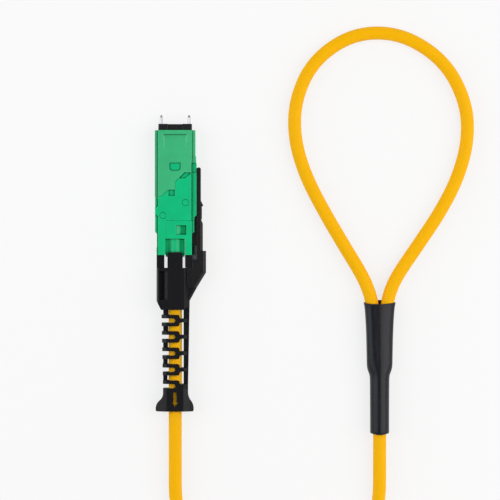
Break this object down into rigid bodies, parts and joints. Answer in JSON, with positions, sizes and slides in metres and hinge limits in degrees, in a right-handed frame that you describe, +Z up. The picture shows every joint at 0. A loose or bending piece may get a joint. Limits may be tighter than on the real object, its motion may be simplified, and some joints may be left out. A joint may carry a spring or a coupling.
{
  "type": "fibre loopback adapter",
  "caption": "Very small push-pull multi-fibre plug with a side latch arm and ribbed boot on a round cable that ends in a closed loop held by a shrunk sleeve, for returning light to a port.",
  "frame": {"origin": "centre of the plug's front face, on the plug's axis", "axes": "+Y out of the plug's front along its axis, +X towards the latch arm, +Z up from the broad face that lies on the table"},
  "size_m": [0.0607, 0.1107, 0.0038],
  "materials": {
    "front_green": "satin moulded thermoplastic",
    "rear_green": "satin moulded thermoplastic",
    "crimp_green": "satin moulded thermoplastic",
    "ferrule_black": "glass-filled resin",
    "pin_steel": "ground stainless steel",
    "keeper_steel": "pressed stainless steel",
    "elastomer": "soft elastomer",
    "spring_steel": "drawn wire",
    "fibre_coating": "coated glass fibres",
    "ring_plated": "bright nickel plate",
    "aramid": "aramid yarn",
    "boot_black": "matte thermoplastic elastomer",
    "arm_black": "smooth moulded plastic",
    "jacket_yellow": "smooth extruded jacket",
    "shrink_black": "shrunk polyolefin tube"
  },
  "bodies": {
    "plug_body": {"front_housing": "front_green", "rear_housing": "rear_green", "crimp_body": "crimp_green", "fibre_ribbon": "fibre_coating", "ferrule_spring": "spring_steel", "crimp_ring": "ring_plated", "strength_yarn": "aramid", "cable_held": "jacket_yellow", "trunk_cable": "jacket_yellow", "loop_cable": "jacket_yellow", "shrink_sleeve": "shrink_black", "fibre_group_near": "fibre_coating", "fibre_group_far": "fibre_coating"},
    "ferrule_unit": {"ferrule": "ferrule_black", "guide_pin_near": "pin_steel", "guide_pin_far": "pin_steel", "pin_keeper": "keeper_steel", "ferrule_boot": "elastomer"},
    "boot_unit": {"push_pull_boot": "boot_black", "latch_arm": "arm_black"}
  },
  "joints": [
    {"name": "ferrule_float", "type": "slide", "parent": "plug_body", "child": "ferrule_unit", "axis": [0, -1, 0], "range_m": [0, 0.0005], "stiffness_N_per_m": 500, "deforming": ["ferrule_spring"]},
    {"name": "boot_slide", "type": "slide", "parent": "plug_body", "child": "boot_unit", "axis": [0, 1, 0], "range_m": [0, 0.0019]}
  ]
}
